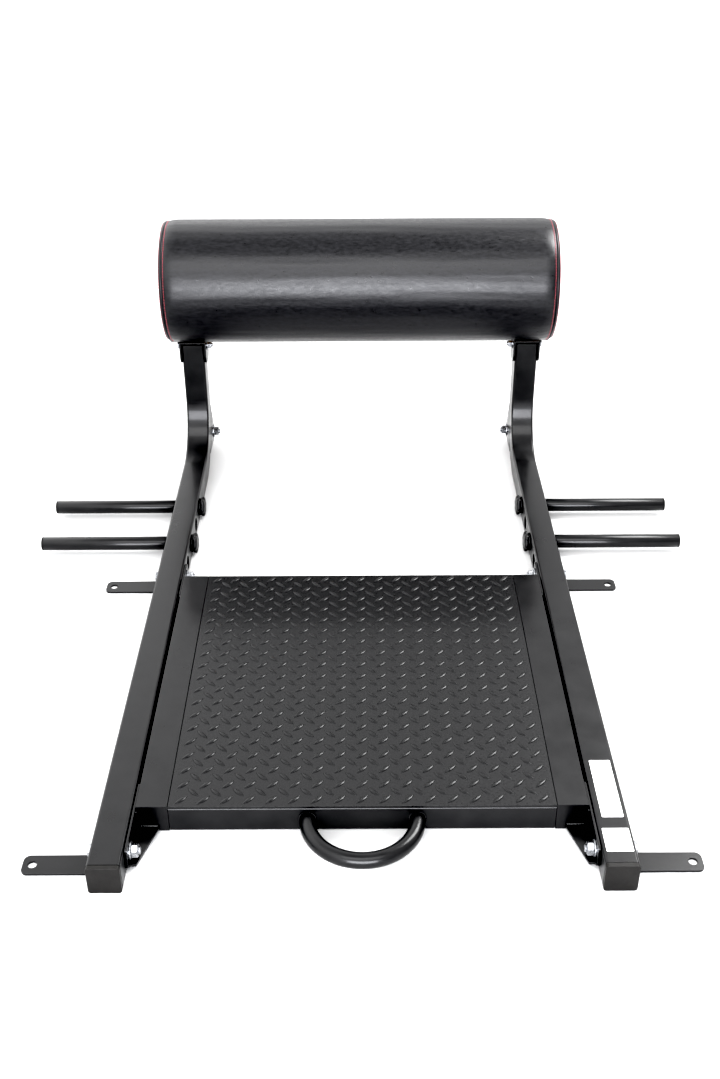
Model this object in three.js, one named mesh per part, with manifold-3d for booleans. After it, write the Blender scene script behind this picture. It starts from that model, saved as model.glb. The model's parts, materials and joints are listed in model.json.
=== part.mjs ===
// Hip-thrust bench: two bent square-tube rails that carry a foot deck in front and a padded roll behind.
// Millimetres, +Z up, +X to the right, -Y towards the carry handle, +Y towards the roll.
// The origin is on the floor, under the centre of the object's box.

import * as THREE from 'three';
import { mergeVertices } from 'three/addons/utils/BufferGeometryUtils.js';
import Module from 'manifold-3d';

const wasm = await Module();
wasm.setup();

// ---------------------------------------------------------------- driving dimensions

const GAP = 0.3; // clearance kept between pieces that touch or are welded
const OVERCUT = 1; // how far a cutting shape runs past what it cuts
const SIDES = { left: -1, right: 1 };

// Square tube, and the bent rails made of it. Places along Y are distances behind one datum at the caps.
const TUBE = 50;
const TUBE_WALL = 3;
const TUBE_CORNER = 4.5;
const RAIL_X = 376.5; // centre of each rail
const RAIL_OUTER_X = RAIL_X + TUBE / 2;
const RAIL_INNER_X = RAIL_X - TUBE / 2;
const RAIL_FRONT = 5;
const BEND_OUTER_R = 157;
const BEND_START = 1224; // where the straight rail ends and the bend starts
const UPRIGHT_CENTRE = BEND_START + BEND_OUTER_R - TUBE / 2;
const UPRIGHT_TOP_Z = 293;
const CAP_THICK = 8;
const CAP_PLUG = 15;

// Padded roll
const ROLL_R = 135;
const ROLL_LENGTH = 856;
const ROLL_EDGE_R = 8;
const ROLL_BOTTOM_Z = 301;
const ROLL_AXIS_Z = 435;
const BOARD = { length: 810, width: 50, thick: 15 };

// The object's box along Y puts the origin half way between the front caps and the back of the roll.
const BOX_FRONT = RAIL_FRONT - GAP - CAP_THICK;
const BOX_BACK = UPRIGHT_CENTRE + ROLL_R;
const ORIGIN = (BOX_FRONT + BOX_BACK) / 2;

// Foot deck
const DECK_FRONT = 122;
const DECK_BACK = 759;
const FLANGE_THICK = 4;
const DECK_HALF = RAIL_INNER_X - FLANGE_THICK - 2 * GAP;
const PLATE_HALF = 298;
const PLATE_THICK = 4;
const DECK_CORNER = 3.5;
const RIB = { size: 30, wall: 2, corner: 3, fromFront: [230, 410] };
const VENT_R = 4;

// Flanges that bolt the deck to the rails
const FLANGE_Z = [6.5, 46];
const FLANGE_FRONT = 36;
const FLANGE_BACK = 814;
const FLANGE_LAP = 60; // length welded to the deck's side
const FLANGE_CORNER = 6;
const GUSSET = { wide: 35, narrow: 10, thick: 4 };
const DECK_BOLTS = { front: 57, rear: 795 };
const BOLT_Z = 25;

// Floor anchor tabs
const TAB = { reach: 108, thick: 4, width: 37, corner: 10, holeR: 7, holeFromTip: 15 };
const TAB_CENTRES = { front: 50, rear: 792 };

// Carry handle: a half ring with short straight feet
const HANDLE = { ringR: 85, tubeR: 12.5, foot: 2.5, z: 25 };

// Band pegs, and the row of holes they plug into
const PEG = { r: 14, wall: 2.5, reach: 262, capThick: 2.5, plugDepth: 12 };
const PEG_Z = 25;
const PEG_HOLE_R = 14.5;
const PEG_HOLES = [847, 922, 997, 1072];
const PEG_PLACES = { front: PEG_HOLES[1], rear: PEG_HOLES[3] };
const KNOB = { r: 21.5, lobes: 6, lobeDepth: 2.2, thick: 12 };

// Fasteners
const M12 = { r: 6, headR: 10.9, head: 7.5, nut: 10, washerR: 14, washer: 2.5, tail: 3 };
const M10 = { r: 5, headR: 9.6, head: 6.4, nut: 8, washerR: 11.5, washer: 2, tail: 3 };

// Brackets that hold the roll on the uprights
const BRACKET = { wall: 4.5, depth: 56, bottomZ: 246, boltZ: 285, cornerR: 20 };

// Transport wheels behind the bends
const WHEEL = { r: 40, halfWidth: 16, hubR: 15, hubHalfWidth: 20.5, boreR: 6.4 };
const AXLE = { fromFront: 1395, z: 46 };
const EAR = { thick: 4, r: 20, roundFrom: 50, roundTo: -95, topAngle: -12, bottomAngle: -55 };
const RIM_STEP = 5;

// ---------------------------------------------------------------- materials

function finish(color, roughness, metalness) {
  return () => new THREE.MeshStandardMaterial({ color, roughness, metalness });
}

const powderCoat = finish(0x1d1d1f, 0.45, 0.2);
const treadCoat = finish(0x2a2a2c, 0.4, 0.3);
const zinc = finish(0xb9bcc0, 0.3, 1);
const plastic = finish(0x18181a, 0.55, 0);
const rubber = finish(0x1b1b1b, 0.8, 0);
const leather = finish(0x151517, 0.5, 0);
const plywood = finish(0xb08a5a, 0.75, 0);

// ---------------------------------------------------------------- solids

const group = new THREE.Group();

function addPart(name, geometry, material) {
  const mesh = new THREE.Mesh(geometry, material());
  mesh.name = name;
  group.add(mesh);
}

// Y of a place given as its distance behind the datum
function alongY(fromFront) {
  return fromFront - ORIGIN;
}

function toSolid(geometry) {
  const bare = geometry.clone();
  bare.deleteAttribute('normal');
  bare.deleteAttribute('uv');
  const merged = mergeVertices(bare, 1e-4);
  return new wasm.Manifold(new wasm.Mesh({
    numProp: 3,
    vertProperties: Float32Array.from(merged.attributes.position.array),
    triVerts: Uint32Array.from(merged.index.array),
  }));
}

function toGeometry(solid) {
  const mesh = solid.getMesh();
  const geometry = new THREE.BufferGeometry();
  geometry.setAttribute('position', new THREE.BufferAttribute(mesh.vertProperties, 3));
  geometry.setIndex(new THREE.BufferAttribute(mesh.triVerts, 1));
  const flat = geometry.toNonIndexed();
  flat.computeVertexNormals();
  return flat;
}

function join(...geometries) {
  return toGeometry(geometries.map(toSolid).reduce((whole, piece) => whole.add(piece)));
}

function cut(geometry, ...tools) {
  return toGeometry(tools.map(toSolid).reduce((whole, tool) => whole.subtract(tool), toSolid(geometry)));
}

function box(x, y, z) {
  const geometry = new THREE.BoxGeometry(x[1] - x[0], y[1] - y[0], z[1] - z[0]);
  return geometry.translate((x[0] + x[1]) / 2, (y[0] + y[1]) / 2, (z[0] + z[1]) / 2);
}

// A round (or, with 6 segments, hexagonal) rod along X between two x values
function rodX(xEnds, y, z, r, segments = 20) {
  const geometry = new THREE.CylinderGeometry(r, r, Math.abs(xEnds[1] - xEnds[0]), segments);
  return geometry.rotateZ(Math.PI / 2).translate((xEnds[0] + xEnds[1]) / 2, y, z);
}

// A pipe along X: a closed lathe profile
function pipeX(xEnds, y, z, outerR, innerR, segments = 20) {
  const half = Math.abs(xEnds[1] - xEnds[0]) / 2;
  const corners = [[innerR, -half], [outerR, -half], [outerR, half], [innerR, half], [innerR, -half]];
  const profile = corners.map(([r, h]) => new THREE.Vector2(r, h));
  const geometry = new THREE.LatheGeometry(profile, segments);
  return geometry.rotateZ(Math.PI / 2).translate((xEnds[0] + xEnds[1]) / 2, y, z);
}

// Extrudes an outline drawn in Y and Z along X
function extrudeX(outline, xEnds, curveSegments = 8) {
  const xLow = Math.min(...xEnds);
  const depth = Math.abs(xEnds[1] - xEnds[0]);
  const geometry = new THREE.ExtrudeGeometry(outline, { depth, bevelEnabled: false, curveSegments });
  return outlineToX(geometry).translate(xLow, 0, 0);
}

// The same with rounded long edges of the given radius
function extrudeXRounded(outline, xEnds, edgeR, curveSegments, bevelSegments) {
  const geometry = new THREE.ExtrudeGeometry(outline, {
    depth: Math.abs(xEnds[1] - xEnds[0]) - 2 * edgeR,
    bevelThickness: edgeR,
    bevelSize: edgeR,
    bevelOffset: -edgeR,
    bevelSegments,
    curveSegments,
  });
  return outlineToX(geometry).translate(Math.min(...xEnds) + edgeR, 0, 0);
}

// Turns an extrusion so that its outline lies in Y and Z and its depth runs along X
function outlineToX(geometry) {
  const turn = new THREE.Matrix4().makeBasis(
    new THREE.Vector3(0, 1, 0),
    new THREE.Vector3(0, 0, 1),
    new THREE.Vector3(1, 0, 0),
  );
  return geometry.applyMatrix4(turn);
}

function roundedRectangle(low, high, r) {
  const shape = new THREE.Shape();
  shape.absarc(high[0] - r, low[1] + r, r, -Math.PI / 2, 0);
  shape.absarc(high[0] - r, high[1] - r, r, 0, Math.PI / 2);
  shape.absarc(low[0] + r, high[1] - r, r, Math.PI / 2, Math.PI);
  shape.absarc(low[0] + r, low[1] + r, r, Math.PI, 1.5 * Math.PI);
  shape.closePath();
  return shape;
}

function polygon(points) {
  return new THREE.Shape(points.map(([a, b]) => new THREE.Vector2(a, b)));
}

// ---------------------------------------------------------------- fasteners

// A hexagon bolt along X, headed on the outside of the object
function boltX(side, headFace, tip, fromFront, z, size) {
  const y = alongY(fromFront);
  const head = rodX([side * headFace, side * (headFace + size.head)], y, z, size.headR, 6);
  const shank = rodX([side * (headFace + size.head / 2), side * tip], y, z, size.r, 12);
  return join(head, shank);
}

// A nut with its washer, on the inner side of what the bolt clamps
function nutX(side, seat, fromFront, z, size) {
  const y = alongY(fromFront);
  const back = seat - size.washer - size.nut;
  const washer = rodX([side * seat, side * (seat - size.washer)], y, z, size.washerR);
  const hexagon = rodX([side * (seat - size.washer / 2), side * back], y, z, size.headR, 6);
  const bore = rodX([side * (seat + OVERCUT), side * (back - OVERCUT)], y, z, size.r + GAP, 12);
  return cut(join(washer, hexagon), bore);
}

function addBoltAndNut(name, side, outerFace, innerFace, fromFront, z, size) {
  const seat = innerFace - GAP;
  const tip = seat - size.washer - size.nut - size.tail;
  addPart(`${name}_bolt`, boltX(side, outerFace + GAP, tip, fromFront, z, size), zinc);
  addPart(`${name}_nut`, nutX(side, seat, fromFront, z, size), zinc);
}

// ---------------------------------------------------------------- rails

// Side view of the bent tube, shrunk all round by inset and lengthened at both ends by overrun
function railOutline(inset, overrun) {
  const shape = new THREE.Shape();
  const centreY = alongY(BEND_START);
  shape.moveTo(alongY(RAIL_FRONT) - overrun, inset);
  shape.lineTo(centreY, inset);
  shape.absarc(centreY, BEND_OUTER_R, BEND_OUTER_R - inset, -Math.PI / 2, 0);
  shape.lineTo(centreY + BEND_OUTER_R - inset, UPRIGHT_TOP_Z + overrun);
  shape.lineTo(centreY + BEND_OUTER_R - TUBE + inset, UPRIGHT_TOP_Z + overrun);
  shape.absarc(centreY, BEND_OUTER_R, BEND_OUTER_R - TUBE + inset, 0, -Math.PI / 2, true);
  shape.lineTo(alongY(RAIL_FRONT) - overrun, TUBE - inset);
  return shape;
}

function rail(side) {
  const overrun = 20;
  const walls = [RAIL_INNER_X, RAIL_OUTER_X].map((x) => side * x);
  const outer = extrudeXRounded(railOutline(0, overrun), walls, TUBE_CORNER, 12, 2);
  const hollow = [RAIL_INNER_X + TUBE_WALL, RAIL_OUTER_X - TUBE_WALL].map((x) => side * x);
  const inner = extrudeX(railOutline(TUBE_WALL, 2 * overrun), hollow, 12);
  const across = [side * (RAIL_INNER_X - OVERCUT), side * (RAIL_OUTER_X + OVERCUT)].sort((a, b) => a - b);
  const frontEnd = box(across, [alongY(-3 * overrun), alongY(RAIL_FRONT)], [-OVERCUT, TUBE + OVERCUT]);
  const aroundTop = [alongY(UPRIGHT_CENTRE - TUBE), alongY(UPRIGHT_CENTRE + TUBE)];
  const topEnd = box(across, aroundTop, [UPRIGHT_TOP_Z, UPRIGHT_TOP_Z + 3 * overrun]);
  const pegHoles = PEG_HOLES.map((place) => rodX(across, alongY(place), PEG_Z, PEG_HOLE_R));
  const boltHole = (place) => rodX(across, alongY(place), BOLT_Z, M12.r + GAP, 12);
  const boltHoles = Object.values(DECK_BOLTS).map(boltHole);
  const padHole = rodX(across, alongY(UPRIGHT_CENTRE), BRACKET.boltZ, M10.r + GAP, 12);
  return cut(outer, inner, frontEnd, topEnd, ...pegHoles, ...boltHoles, padHole);
}

// Plastic cap in a rail's front end: a face plate and a plug
function frontCap(side) {
  const x = side * RAIL_X;
  const half = TUBE / 2;
  const plugHalf = half - TUBE_WALL - GAP;
  const face = new THREE.ExtrudeGeometry(roundedRectangle([x - half, 0], [x + half, TUBE], TUBE_CORNER), {
    depth: CAP_THICK,
    bevelEnabled: false,
    curveSegments: 4,
  });
  face.rotateX(Math.PI / 2).translate(0, alongY(RAIL_FRONT - GAP), 0);
  const plugY = [alongY(RAIL_FRONT - GAP - CAP_THICK / 2), alongY(RAIL_FRONT + CAP_PLUG)];
  const plug = box([x - plugHalf, x + plugHalf], plugY, [half - plugHalf, half + plugHalf]);
  return join(face, plug);
}

// Flat tab welded to the rail's outer side, lying on the floor, with a bolt hole near its tip
function anchorTab(side, centre) {
  const root = side * (RAIL_OUTER_X + GAP);
  const tip = side * (RAIL_OUTER_X + TAB.reach);
  const near = alongY(centre - TAB.width / 2);
  const far = alongY(centre + TAB.width / 2);
  const r = TAB.corner;
  const cornerX = tip - side * r;
  const shape = new THREE.Shape();
  shape.moveTo(root, near);
  shape.lineTo(cornerX, near);
  shape.absarc(cornerX, near + r, r, -Math.PI / 2, side > 0 ? 0 : -Math.PI, side < 0);
  shape.absarc(cornerX, far - r, r, side > 0 ? 0 : Math.PI, Math.PI / 2, side < 0);
  shape.lineTo(root, far);
  const hole = new THREE.Path();
  hole.absarc(tip - side * TAB.holeFromTip, (near + far) / 2, TAB.holeR, 0, 2 * Math.PI);
  shape.holes.push(hole);
  return new THREE.ExtrudeGeometry(shape, { depth: TAB.thick, bevelEnabled: false, curveSegments: 8 });
}

// ---------------------------------------------------------------- foot deck

// Closed tube along each side of the deck, with a vent hole through its inner wall
function deckSideTube(side) {
  const xInner = PLATE_HALF + GAP;
  const low = Math.min(side * xInner, side * DECK_HALF);
  const high = Math.max(side * xInner, side * DECK_HALF);
  const skin = new THREE.ExtrudeGeometry(roundedRectangle([low, 0], [high, TUBE], DECK_CORNER), {
    depth: DECK_BACK - DECK_FRONT,
    bevelEnabled: false,
    curveSegments: 4,
  });
  skin.rotateX(Math.PI / 2).translate(0, alongY(DECK_BACK), 0);
  const along = [alongY(DECK_FRONT + TUBE_WALL), alongY(DECK_BACK - TUBE_WALL)];
  const hollow = box([low + TUBE_WALL, high - TUBE_WALL], along, [TUBE_WALL, TUBE - TUBE_WALL]);
  const ventX = [side * (xInner - OVERCUT), side * (xInner + TUBE_WALL + OVERCUT)];
  const vent = rodX(ventX, alongY((DECK_FRONT + DECK_BACK) / 2), TUBE / 2, VENT_R, 16);
  return cut(skin, hollow, vent);
}

// Tube across the deck, under the tread plate: an outline in Y and Z with its hollow
function crossTube(yEnds, zEnds, wall, corner) {
  const outline = roundedRectangle([yEnds[0], zEnds[0]], [yEnds[1], zEnds[1]], corner);
  const hollow = polygon([
    [yEnds[0] + wall, zEnds[0] + wall],
    [yEnds[1] - wall, zEnds[0] + wall],
    [yEnds[1] - wall, zEnds[1] - wall],
    [yEnds[0] + wall, zEnds[1] - wall],
  ]);
  outline.holes.push(hollow);
  return extrudeX(outline, [-PLATE_HALF, PLATE_HALF], 4);
}

// Upright plate beside the deck, with a flat gusset that runs to the deck's beam
function deckFlange(side, end) {
  const front = end === 'front';
  const yEnds = front
    ? [alongY(FLANGE_FRONT), alongY(DECK_FRONT + FLANGE_LAP)]
    : [alongY(DECK_BACK - FLANGE_LAP), alongY(FLANGE_BACK)];
  const xRail = side * (RAIL_INNER_X - GAP);
  const xDeck = side * (RAIL_INNER_X - GAP - FLANGE_THICK);
  const outline = roundedRectangle([yEnds[0], FLANGE_Z[0]], [yEnds[1], FLANGE_Z[1]], FLANGE_CORNER);
  const hole = new THREE.Path();
  hole.absarc(alongY(DECK_BOLTS[end]), BOLT_Z, M12.r + GAP, 0, 2 * Math.PI);
  outline.holes.push(hole);
  const plate = extrudeX(outline, [xRail, xDeck], 5);
  const beam = front ? alongY(DECK_FRONT - GAP) : alongY(DECK_BACK + GAP);
  const away = front ? alongY(FLANGE_FRONT + FLANGE_CORNER) : alongY(FLANGE_BACK - FLANGE_CORNER);
  const xIn = xDeck + (side * FLANGE_THICK) / 2;
  const gussetOutline = polygon([
    [xIn, beam],
    [xDeck - side * GUSSET.wide, beam],
    [xDeck - side * GUSSET.narrow, away],
    [xIn, away],
  ]);
  const gusset = new THREE.ExtrudeGeometry(gussetOutline, { depth: GUSSET.thick, bevelEnabled: false });
  return join(plate, gusset.translate(0, 0, FLANGE_Z[0]));
}

// Centre line of the carry handle: a foot, a half circle and the other foot
class HandleCurve extends THREE.Curve {
  getPoint(t, target = new THREE.Vector3()) {
    const arc = Math.PI * HANDLE.ringR;
    const travelled = t * (arc + 2 * HANDLE.foot);
    const footY = alongY(DECK_FRONT - GAP);
    if (travelled <= HANDLE.foot) {
      return target.set(-HANDLE.ringR, footY - travelled, HANDLE.z);
    }
    if (travelled >= HANDLE.foot + arc) {
      return target.set(HANDLE.ringR, footY - (arc + 2 * HANDLE.foot - travelled), HANDLE.z);
    }
    const angle = (travelled - HANDLE.foot) / HANDLE.ringR;
    const forward = HANDLE.foot + HANDLE.ringR * Math.sin(angle);
    return target.set(-HANDLE.ringR * Math.cos(angle), footY - forward, HANDLE.z);
  }
}

function carryHandle() {
  const section = new THREE.Shape();
  section.absarc(0, 0, HANDLE.tubeR, 0, 2 * Math.PI);
  return new THREE.ExtrudeGeometry(section, {
    extrudePath: new HandleCurve(),
    steps: 30,
    curveSegments: 7,
    bevelEnabled: false,
  });
}

// ---------------------------------------------------------------- band pegs

// Lobed stop knob on a peg's inner end, with the spigot that fills the peg's bore
function pegKnob(side, place) {
  const y = alongY(place);
  const face = RAIL_INNER_X - GAP;
  const shape = new THREE.Shape();
  const steps = 8 * KNOB.lobes;
  for (let i = 0; i < steps; i += 1) {
    const angle = (2 * Math.PI * i) / steps;
    const r = KNOB.r - (KNOB.lobeDepth / 2) * (1 - Math.cos(KNOB.lobes * angle));
    const point = [y + r * Math.cos(angle), PEG_Z + r * Math.sin(angle)];
    if (i === 0) {
      shape.moveTo(...point);
    } else {
      shape.lineTo(...point);
    }
  }
  const body = extrudeX(shape, [side * face, side * (face - KNOB.thick)]);
  const spigotEnds = [side * (face - KNOB.thick / 2), side * (face + PEG.plugDepth)];
  return join(body, rodX(spigotEnds, y, PEG_Z, PEG.r - PEG.wall - GAP));
}

function pegBar(side, place) {
  const ends = [side * RAIL_INNER_X, side * (RAIL_OUTER_X + PEG.reach - PEG.capThick - GAP)];
  return pipeX(ends, alongY(place), PEG_Z, PEG.r, PEG.r - PEG.wall);
}

function pegTipCap(side, place) {
  const tip = RAIL_OUTER_X + PEG.reach;
  const disc = rodX([side * tip, side * (tip - PEG.capThick)], alongY(place), PEG_Z, PEG.r);
  const plugEnds = [side * (tip - PEG.capThick / 2), side * (tip - PEG.capThick - PEG.plugDepth)];
  return join(disc, rodX(plugEnds, alongY(place), PEG_Z, PEG.r - PEG.wall - GAP));
}

// ---------------------------------------------------------------- roll and its brackets

// Upturned U over the top of an upright, with legs that end in rounded corners
function padBracket(side) {
  const inner = TUBE / 2 + GAP;
  const outer = inner + BRACKET.wall;
  const top = ROLL_BOTTOM_Z - GAP;
  const y = alongY(UPRIGHT_CENTRE);
  const half = BRACKET.depth / 2;
  const outline = new THREE.Shape();
  outline.moveTo(y + half, top);
  outline.lineTo(y - half, top);
  const r = BRACKET.cornerR;
  outline.absarc(y - half + r, BRACKET.bottomZ + r, r, Math.PI, 1.5 * Math.PI);
  outline.absarc(y + half - r, BRACKET.bottomZ + r, r, 1.5 * Math.PI, 2 * Math.PI);
  const centre = side * RAIL_X;
  const block = extrudeX(outline, [centre - outer, centre + outer], 8);
  const under = top - BRACKET.wall;
  const slotY = [y - half - OVERCUT, y + half + OVERCUT];
  const slot = box([centre - inner, centre + inner], slotY, [BRACKET.bottomZ - OVERCUT, under]);
  const holeX = [centre - outer - OVERCUT, centre + outer + OVERCUT];
  const hole = rodX(holeX, y, BRACKET.boltZ, M10.r + GAP, 12);
  return cut(block, slot, hole);
}

// The roll's section is a circle with a flat underside, and a groove there holds the board
function padRoll() {
  const y = alongY(UPRIGHT_CENTRE);
  const flatAngle = Math.asin((ROLL_AXIS_Z - ROLL_BOTTOM_Z) / ROLL_R);
  const outline = new THREE.Shape();
  outline.absarc(y, ROLL_AXIS_Z, ROLL_R, -flatAngle, Math.PI + flatAngle);
  const halfLength = ROLL_LENGTH / 2;
  const roll = extrudeXRounded(outline, [-halfLength, halfLength], ROLL_EDGE_R, 36, 2);
  const grooveX = [-BOARD.length / 2 - GAP, BOARD.length / 2 + GAP];
  const grooveY = [y - BOARD.width / 2 - GAP, y + BOARD.width / 2 + GAP];
  const grooveTop = ROLL_BOTTOM_Z + BOARD.thick + GAP;
  return cut(roll, box(grooveX, grooveY, [ROLL_BOTTOM_Z - OVERCUT, grooveTop]));
}

function padBoard() {
  const y = alongY(UPRIGHT_CENTRE);
  const halfX = BOARD.length / 2;
  const halfY = BOARD.width / 2;
  return box([-halfX, halfX], [y - halfY, y + halfY], [ROLL_BOTTOM_Z, ROLL_BOTTOM_Z + BOARD.thick]);
}

// ---------------------------------------------------------------- transport wheels

// Two ears and a web that wraps the outside of the bend
function wheelBracket(side) {
  const centreY = alongY(BEND_START);
  const axleY = alongY(AXLE.fromFront);
  const heelR = BEND_OUTER_R + GAP;
  const top = THREE.MathUtils.degToRad(EAR.topAngle);
  const bottom = THREE.MathUtils.degToRad(EAR.bottomAngle);
  const roundFrom = THREE.MathUtils.degToRad(EAR.roundFrom);
  const roundTo = THREE.MathUtils.degToRad(EAR.roundTo);
  const ear = new THREE.Shape();
  ear.absarc(axleY, AXLE.z, EAR.r, roundFrom, roundTo, true);
  ear.absarc(centreY, BEND_OUTER_R, heelR, bottom, top);
  const hole = new THREE.Path();
  hole.absarc(axleY, AXLE.z, M12.r + GAP, 0, 2 * Math.PI);
  ear.holes.push(hole);
  const web = new THREE.Shape();
  web.absarc(centreY, BEND_OUTER_R, heelR, bottom, top);
  web.absarc(centreY, BEND_OUTER_R, heelR + EAR.thick, top, bottom, true);
  const outerEar = extrudeX(ear, [side * RAIL_OUTER_X, side * (RAIL_OUTER_X - EAR.thick)], 6);
  const innerEar = extrudeX(ear, [side * RAIL_INNER_X, side * (RAIL_INNER_X + EAR.thick)], 6);
  const overlap = EAR.thick / 2;
  const webPlate = extrudeX(web, [side * (RAIL_OUTER_X - overlap), side * (RAIL_INNER_X + overlap)], 6);
  return join(outerEar, webPlate, innerEar);
}

function wheel(side) {
  const oneSide = [
    [WHEEL.boreR, WHEEL.hubHalfWidth],
    [WHEEL.hubR, WHEEL.hubHalfWidth],
    [WHEEL.hubR, WHEEL.halfWidth - RIM_STEP],
    [WHEEL.r - 2 * RIM_STEP, WHEEL.halfWidth - RIM_STEP],
    [WHEEL.r - 2 * RIM_STEP, WHEEL.halfWidth],
    [WHEEL.r - RIM_STEP / 2, WHEEL.halfWidth],
    [WHEEL.r, WHEEL.halfWidth - RIM_STEP],
  ];
  const otherSide = oneSide.map(([r, h]) => [r, -h]);
  const loop = [...otherSide, ...oneSide.toReversed(), otherSide[0]];
  const geometry = new THREE.LatheGeometry(loop.map(([r, h]) => new THREE.Vector2(r, h)), 28);
  return geometry.rotateZ(Math.PI / 2).translate(side * RAIL_X, alongY(AXLE.fromFront), AXLE.z);
}

// ---------------------------------------------------------------- assembly

const underPlate = TUBE - PLATE_THICK - GAP;
addPart('tread_plate', box(
  [-PLATE_HALF, PLATE_HALF],
  [alongY(DECK_FRONT), alongY(DECK_BACK)],
  [TUBE - PLATE_THICK, TUBE],
), treadCoat);
const frontBeamY = [alongY(DECK_FRONT), alongY(DECK_FRONT + TUBE)];
const rearBeamY = [alongY(DECK_BACK - TUBE), alongY(DECK_BACK)];
addPart('deck_front_beam', crossTube(frontBeamY, [0, underPlate], TUBE_WALL, DECK_CORNER), powderCoat);
addPart('deck_rear_beam', crossTube(rearBeamY, [0, underPlate], TUBE_WALL, DECK_CORNER), powderCoat);
RIB.fromFront.forEach((place, index) => {
  const yEnds = [alongY(DECK_FRONT + place - RIB.size / 2), alongY(DECK_FRONT + place + RIB.size / 2)];
  const rib = crossTube(yEnds, [underPlate - RIB.size, underPlate], RIB.wall, RIB.corner);
  addPart(`deck_rib_${index + 1}`, rib, powderCoat);
});
addPart('carry_handle', carryHandle(), powderCoat);
addPart('roll_pad', padRoll(), leather);
addPart('roll_board', padBoard(), plywood);

for (const [sideName, side] of Object.entries(SIDES)) {
  addPart(`rail_${sideName}`, rail(side), powderCoat);
  addPart(`rail_front_cap_${sideName}`, frontCap(side), plastic);
  addPart(`deck_side_tube_${sideName}`, deckSideTube(side), powderCoat);

  for (const end of ['front', 'rear']) {
    addPart(`anchor_tab_${end}_${sideName}`, anchorTab(side, TAB_CENTRES[end]), powderCoat);
    addPart(`deck_flange_${end}_${sideName}`, deckFlange(side, end), powderCoat);
    const clampedTo = RAIL_INNER_X - GAP - FLANGE_THICK;
    addBoltAndNut(`deck_${end}_${sideName}`, side, RAIL_OUTER_X, clampedTo, DECK_BOLTS[end], BOLT_Z, M12);
    addPart(`peg_bar_${end}_${sideName}`, pegBar(side, PEG_PLACES[end]), powderCoat);
    addPart(`peg_knob_${end}_${sideName}`, pegKnob(side, PEG_PLACES[end]), plastic);
    addPart(`peg_tip_cap_${end}_${sideName}`, pegTipCap(side, PEG_PLACES[end]), plastic);
  }

  addPart(`pad_bracket_${sideName}`, padBracket(side), powderCoat);
  const legOuter = TUBE / 2 + GAP + BRACKET.wall;
  addBoltAndNut(
    `pad_${sideName}`, side, RAIL_X + legOuter, RAIL_X - legOuter, UPRIGHT_CENTRE, BRACKET.boltZ, M10,
  );

  addPart(`wheel_bracket_${sideName}`, wheelBracket(side), powderCoat);
  addPart(`wheel_${sideName}`, wheel(side), rubber);
  addBoltAndNut(`wheel_axle_${sideName}`, side, RAIL_OUTER_X, RAIL_INNER_X, AXLE.fromFront, AXLE.z, M12);
}

export default group;
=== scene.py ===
import json
import math
import random

import bmesh
import bpy
from mathutils import Matrix, Vector, noise
from mathutils.bvhtree import BVHTree
from mathutils.geometry import delaunay_2d_cdt


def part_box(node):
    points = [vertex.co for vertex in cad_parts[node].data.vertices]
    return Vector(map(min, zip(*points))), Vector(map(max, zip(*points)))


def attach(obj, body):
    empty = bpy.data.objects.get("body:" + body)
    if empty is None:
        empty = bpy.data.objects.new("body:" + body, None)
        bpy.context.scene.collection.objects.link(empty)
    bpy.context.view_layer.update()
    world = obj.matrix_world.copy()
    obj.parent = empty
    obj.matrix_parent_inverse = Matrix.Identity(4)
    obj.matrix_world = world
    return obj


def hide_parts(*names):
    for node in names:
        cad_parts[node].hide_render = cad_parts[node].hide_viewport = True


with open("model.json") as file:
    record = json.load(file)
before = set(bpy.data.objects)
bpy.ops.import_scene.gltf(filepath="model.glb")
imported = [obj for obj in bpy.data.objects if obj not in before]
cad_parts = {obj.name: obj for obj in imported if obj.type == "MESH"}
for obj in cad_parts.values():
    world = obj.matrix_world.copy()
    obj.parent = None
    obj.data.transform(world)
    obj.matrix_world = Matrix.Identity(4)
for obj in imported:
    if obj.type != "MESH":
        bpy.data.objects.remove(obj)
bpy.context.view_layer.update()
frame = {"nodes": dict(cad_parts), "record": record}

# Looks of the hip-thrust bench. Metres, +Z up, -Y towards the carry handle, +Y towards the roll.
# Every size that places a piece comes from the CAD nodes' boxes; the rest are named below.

# ---- dimensions

MM = 0.001
TAU = 2 * math.pi
X_AXIS = Vector((1, 0, 0))
Y_AXIS = Vector((0, 1, 0))
Z_AXIS = Vector((0, 0, 1))
SIDES = {"left": -1, "right": 1}
ENDS = ("front", "rear")
PLACES = [(end, side) for end in ENDS for side in SIDES]

TUBE = 50 * MM
TUBE_WALL = 3 * MM
TUBE_CORNER = 4.5 * MM
RAIL_FRONT = 5 * MM  # from the datum of the labels' places to the tube's end
BEND_OUTER_R = 157 * MM
BEND_STEPS = 36
PEG_HOLE_R = 14.5 * MM

M12 = {"r": 6 * MM, "head_r": 10.9 * MM, "head": 7.5 * MM, "washer_r": 14 * MM, "washer": 2.5 * MM,
       "pitch": 1.75 * MM}
M10 = {"r": 5 * MM, "head_r": 9.6 * MM, "head": 6.4 * MM, "washer_r": 11.5 * MM, "washer": 2 * MM,
       "pitch": 1.5 * MM}
THREAD_LENGTH = 22 * MM

CROWN_DISH = 0.25 * MM
BEAM_CORNER = 3.5 * MM
RIB_CORNER = 3 * MM
SIDE_TUBE_CORNER = 1.2 * MM

PEG_WALL = 2.5 * MM
TIP_CAP_THICK = 2.5 * MM
WHEEL = {"inset": 4.5 * MM, "tyre": 11 * MM, "groove": 5 * MM, "groove_depth": 1.5 * MM, "bore": 6.4 * MM,
         "web_inset": 6 * MM, "hub_r": 15 * MM, "spokes": 5}

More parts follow.
